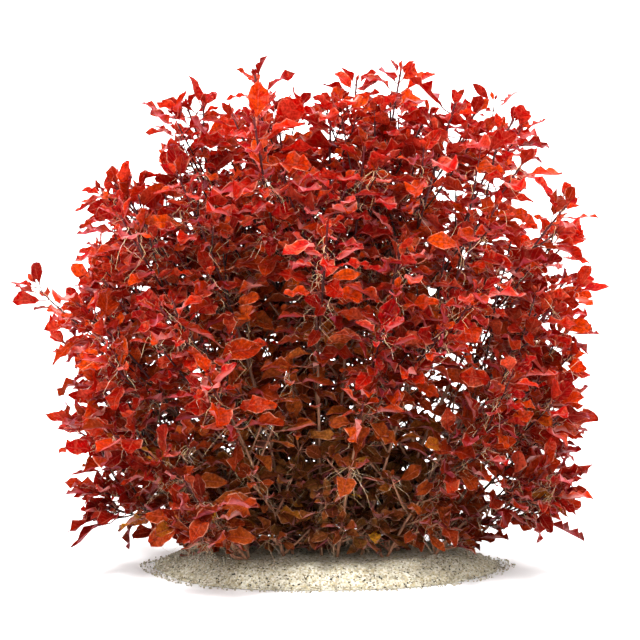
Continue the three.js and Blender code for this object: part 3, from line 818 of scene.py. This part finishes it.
def root_threads(plant, joints, count):
    """Tubes that leave the stem sideways, sway as a sine and fall as q^1.7, some of them hardly at all."""
    k = np.arange(count)
    pick = (chance(plant, k, 41) * len(joints)).astype(int)
    swing = 2 * np.pi * chance(plant, k, 42)
    length = (6 + 22 * chance(plant, k, 43) ** 1.5) * MM
    level = np.stack([np.cos(swing), np.sin(swing), 0 * swing], -1)
    q = np.linspace(0, 1, ROOT_RINGS)[None, :, None]
    span = length[:, None, None]
    side = np.cross(level, [0, 0, 1.0])[:, None]
    start, speed, fall = (chance(plant, k, use)[:, None, None] for use in (44, 45, 47))
    sway = 0.3 * np.sin((4 + 5 * speed) * q + 6 * start)
    path = joints[pick][:, None] + level[:, None] * span * (0.8 - 0.4 * fall) * q + side * span * sway * q
    path = path - np.array([0, 0, 1.0]) * span * ((0.1 + 0.9 * fall) * q**1.7 - 0.12 * q)
    path[..., 2] = np.maximum(path[..., 2], SAND_HEIGHT + 0.2 * MM)
    radius = ROOT_RADIUS * (1.1 - 0.75 * q)
    angle = -2 * np.pi * np.arange(ROOT_SIDES) / ROOT_SIDES
    first = level[:, None, None] * np.cos(angle)[None, None, :, None]
    second = side[:, :, None] * np.sin(angle)[None, None, :, None]
    return path[:, :, None] + (first + second) * radius[..., None]


def root_material():
    """Pale tan threads, pinker or yellower in patches and brown near the sand."""
    tree, shader, _ = new_material("water_root")
    place = own_place(tree)
    base = colour_steps(tree, painted(ROOT_COLOURS), noise(tree, place, 160.0, 2.0))
    base = tinted(tree, base, (116, 84, 58), eased(tree, upward_part(tree, place), 0.1, 0.015), 0.8)
    feed(tree, shader, {"Base Color": base, "Roughness": 0.5})


root_material()

# The plants. Each is put together from its shoots, leaves and roots as one piece that takes its solid's
# place, with the numbers that its materials read stored on it.
FINISHES = {"leaf": "leaf_skin", "stem": "stem_bark", "root": "water_root"}
# By kind of shoot: its first item number, the distance between its joints, the size of its leaves and the
# age that they start at, the share it has shed, how many joints at its tip keep theirs, and if it is thick
SHOOT_KINDS = {
    "main": dict(first=0, spacing=10 * MM, scale=1.0, old=0.0, shed=0.52, tuft=5, thick=True),
    "strong": dict(first=200, spacing=10 * MM, scale=1.0, old=0.0, shed=0.08, tuft=5, thick=True),
    "crown": dict(first=400, spacing=8.5 * MM, scale=0.92, old=0.0, shed=0.08, tuft=3, thick=False),
    "low": dict(first=1400, spacing=7.5 * MM, scale=0.82, old=0.5, shed=0.08, tuft=3, thick=False),
}
ITEMS_FOR_A_TWIG = 100
FIRST_LOW_TWIG = CROWN_TWIGS["count"] + STRONG_TWIGS["count"]
JOINTED_SHARE = 0.95  # of a shoot's length, from its tip
SHED_IN_GLOOM = 0.25
# Twigs get rarer beyond a distance from the middle, up to a missing share
RARER_CROWN_TWIGS = (80 * MM, 0.42)
RARER_LOW_TWIGS = (56 * MM, 0.95)
FINE_UP_TO_GLOOM = 0.3
SMALL_FROM_GLOOM = 0.55
# Where each form is unrolled to on a plant's own map: the lower and upper edge of its band
BANDS = {
    "root": (0, 0.06),
    "stem": (0.06, 0.14),
    "small": (0.14, 0.3),
    "plain": (0.3, 0.62),
    "fine": (0.62, 1),
}


def crown_gloom(points):
    """0 on the lit outside of the clump and 1 deep inside and low down, where old leaves turn brown: 0.6 of
    how deep a point is, fading out at the top, and 0.75 of how low it is, fading out at the sides."""
    height = points[..., 2]
    inside = np.clip((0.92 - crown_share(points)) / 0.5, 0, 1) * np.clip((0.31 - height) / 0.16, 0, 1)
    low = np.clip((0.12 - height) / 0.1, 0, 1) * np.clip(1.3 - np.abs(points[..., 0]) / 0.12, 0, 1)
    return np.clip(0.6 * inside + 0.75 * low, 0, 1)


def growing(plant, shoots, sides_from, most_missing):
    """Numbers and shoots of the twigs that are there. Beyond sides_from they grow rarer, up to a share of
    most_missing that is missing at twice that distance from the middle."""
    missing = [most_missing * np.clip(abs(shoot.tip[0]) / sides_from - 1, 0, 1) for shoot in shoots]
    return [(k, shoot) for k, shoot in enumerate(shoots) if chance(plant, k, 36) > missing[k]]


def plant_shoots(plant):
    """All shoots of a plant, each with its kind and its number among that kind."""
    main = main_stem(plant)
    strong = strong_side_shoot(plant, main)
    crown = twigs(plant, main, 0, **CROWN_TWIGS)
    crown += twigs(plant, strong, CROWN_TWIGS["count"], **STRONG_TWIGS)
    low = twigs(plant, main, FIRST_LOW_TWIG, **LOW_TWIGS)
    low += twigs(plant, main, FIRST_LOW_TWIG + LOW_TWIGS["count"], **FOOT_TWIGS)
    shoots = [("main", 0, main), ("strong", 0, strong)]
    shoots += [("crown", k, twig) for k, twig in growing(plant, crown, *RARER_CROWN_TWIGS)]
    shoots += [("low", k, twig) for k, twig in growing(plant, low, *RARER_LOW_TWIGS)]
    return shoots


def shoot_leaves(plant, kind, number, shoot, joints):
    """The postures and ages of a shoot's leaves but the shed ones: two at each joint, set crosswise."""
    habit = SHOOT_KINDS[kind]
    i = np.repeat(np.arange(len(joints)), 2)
    side = i % 2 + np.tile([0, 2], len(joints))
    item = habit["first"] + ITEMS_FOR_A_TWIG * number + 2 * i + (side > 1)
    frames = shoot.frames(joints[i])
    settled = np.isin(i, SOLID_JOINTS.get(kind, ()))
    shed = habit["shed"] + SHED_IN_GLOOM * crown_gloom(frames[0])
    keep = (chance(plant, item, 22) > shed) | (i < habit["tuft"]) | settled
    keep = keep & (frames[0][:, 2] > LOWEST_LEAF)
    leaves = leaf_postures(plant, item, i, frames, side, habit["scale"], settled)
    leaves["age"] = np.clip(i / 16 + habit["old"], 0, 1) ** 0.8
    return {key: value[keep] for key, value in leaves.items()}


def clear_of_sand(shells):
    """Which leaves stay above the sand, and in front above a slope, so that they hide little of it."""
    in_front = np.maximum(-shells[..., 1] - FRONT_LEAVES_FROM, 0)
    return (shells[..., 2] - FRONT_LEAF_RISE * in_front).min((1, 2)) > LOWEST_LEAF


def build_plant(plant):
    """One plant's tubes by kind: for each, the points, and the age and joint distance of stems or the leaf
    data. Large leaves on the outside get more rings than small or hidden ones."""
    leaves, parts, spots = [], [], []
    for kind, number, shoot in plant_shoots(plant):
        habit = SHOOT_KINDS[kind]
        depth = joint_depth(habit["spacing"])
        joints = 1 - depth[depth < shoot.length * JOINTED_SHARE] / shoot.length
        leaves.append(shoot_leaves(plant, kind, number, shoot, joints))
        parts.append(dict(kind="stem", tube=stem_tube(shoot, joints, habit["thick"])))
        spots.append(shoot.frames(np.repeat(joints, 2))[0])
    leaf = {key: np.concatenate([group[key] for group in leaves]) for key in leaves[0]}
    gloom = crown_gloom(leaf["root"])
    fine = (leaf["length"] > FINE_FROM) & (gloom < FINE_UP_TO_GLOOM)
    small = ((leaf["length"] < PLAIN_FROM) | (gloom > SMALL_FROM_GLOOM)) & ~fine
    for form, chosen in (("fine", fine), ("small", small), ("plain", ~fine & ~small)):
        group = {key: value[chosen] for key, value in leaf.items()}
        shells = leaf_shells(group, LEAF_RINGS[form])
        clear = clear_of_sand(shells)
        group = {key: value[clear] for key, value in group.items()}
        if clear.any():
            parts.append(dict(kind="leaf", points=shells[clear], leaf=group, form=form))
    spots = np.concatenate(spots)
    spots = spots[(spots[:, 2] < HIGHEST_ROOT_JOINT) & (spots[:, 2] > LOWEST_ROOT_JOINT)]
    spots = spots[crown_share(spots) > ROOTS_FROM_SHARE]
    parts.append(dict(kind="root", points=root_threads(plant, spots, min(MOST_ROOTS, len(spots)))))
    return parts


def tube_faces(count, rings, around):
    """Corner numbers of many tubes of rings that run clockwise, ends closed by quads, and each corner's
    place in the unit square that the tube unrolls to. The first and last rows there hold the end faces."""
    wall = ring_quads(rings, around)[:, [0, 3, 2, 1]]
    row, column = np.divmod(np.arange(len(wall)), around)
    unrolled = np.stack([column, row + 1], -1)[:, None] + np.array([[0, 0], [0, 1], [1, 1], [1, 0]])
    cap = strip_across(around)
    corners = np.array([[0, 0], [1, 0], [1, 1], [0, 1.0]])
    k = np.arange(len(cap))
    share = around / len(cap)
    cap_place = corners[None] * [share, 1] + np.stack([k * share, 0 * k], -1)[:, None]
    quads = np.concatenate([wall, cap, cap[:, ::-1] + (rings - 1) * around])
    unrolled = np.concatenate([unrolled, cap_place, cap_place + [0, rings]]) / [around, rings + 1]
    quads = quads[None] + np.arange(count)[:, None, None] * rings * around
    return quads.reshape(-1, 4), np.broadcast_to(unrolled, (count, *unrolled.shape))


def map_cells(count, columns, rows, low, high):
    """The lower left corners and the size of equal cells that fill a band of the unit square."""
    row, column = np.divmod(np.arange(count), columns)
    size = np.array([1 / columns, (high - low) / rows])
    return (np.stack([column, row], -1) * size + [0, low])[:, None, None], size


def join_parts(parts):
    """All tubes of a plant as one set of arrays, with a cell of the unit square for each unrolled tube."""
    joined = defaultdict(list)
    first = 0
    stems = sum(part["kind"] == "stem" for part in parts)
    stem_number = 0
    for part in parts:
        kind = part["kind"]
        points = part["tube"][0] if kind == "stem" else part["points"]
        count, rings, around = points.shape[:3]
        quads, unrolled = tube_faces(count, rings, around)
        underside = np.zeros(len(quads))
        values = dict(age=0.5, luck=0.5, along=0.5, across=0.0, gloom=0.0)
        if kind == "leaf":
            low, high = BANDS[part["form"]]
            columns = int(np.ceil(np.sqrt(count / (high - low))))
            corner, size = map_cells(count, columns, int(np.ceil(count / columns)), low, high)
            place = (unrolled * 0.94 + 0.03) * size + corner
            values = dict(
                age=part["leaf"]["age"][:, None, None],
                luck=part["leaf"]["luck"][:, None, None],
                along=LEAF_RINGS[part["form"]][None, :, None],
                across=RING_ACROSS[None, None, :],
                gloom=crown_gloom(points[:, rings // 2].mean(1))[:, None, None],
            )
            end_faces = 2 * (around // 2 - 1)
            column = np.concatenate([np.tile(np.arange(around), rings - 1), np.zeros(end_faces)])
            underside = np.tile(column >= around / 2, count)
        elif kind == "stem":
            low, high = BANDS["stem"]
            lane = (high - low) / stems
            place = unrolled[..., ::-1] * [1, 0.9 * lane] + [0, low + stem_number * lane]
            stem_number += 1
            _, age, gap = part["tube"]
            values.update(age=age[None, :, None], along=gap[None, :, None], gloom=crown_gloom(points))
        else:
            corner, size = map_cells(count, count, 1, *BANDS["root"])
            place = unrolled * 0.9 * size + corner
        joined["quads"].append(quads + first)
        first += count * rings * around
        joined["points"].append(points.reshape(-1, 3))
        for key, value in values.items():
            joined[key].append(np.broadcast_to(value, (count, rings, around)).ravel())
        joined["places"].append(place.reshape(-1, 2))
        joined["underside"].append(underside)
        joined["material"].append(np.full(len(quads), list(FINISHES).index(kind)))
    return {key: np.concatenate(value) for key, value in joined.items()}


def dress(piece, data):
    """Puts the joined numbers on a plant's mesh, and keeps the leaves' margins crisp."""
    mesh = piece.data
    for key in ("age", "luck", "along", "across", "gloom"):
        mesh.attributes.new(key, "FLOAT", "POINT").data.foreach_set("value", data[key].astype(np.float32))
    underside = data["underside"].astype(np.float32)
    mesh.attributes.new("underside", "FLOAT", "FACE").data.foreach_set("value", underside)
    mesh.uv_layers.new(name="OFBake").data.foreach_set("uv", data["places"].astype(np.float32).ravel())
    ends = np.empty(len(mesh.edges) * 2, np.int32)
    mesh.edges.foreach_get("vertices", ends)
    margin = (np.abs(data["across"]) == 1) & (data["along"] >= 0)
    sharp = margin[ends].reshape(-1, 2).all(1)
    mesh.attributes.new("sharp_edge", "BOOLEAN", "EDGE").data.foreach_set("value", sharp)


for plant in range(PLANTS):
    data = join_parts(build_plant(plant))
    name = f"seedbox_{plant + 1:02d}"
    piece = new_piece(name, data["points"], data["quads"], list(FINISHES.values()), data["material"])
    dress(piece, data)
    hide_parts(f"plant_{plant + 1:02d}")
    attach(piece, "root")
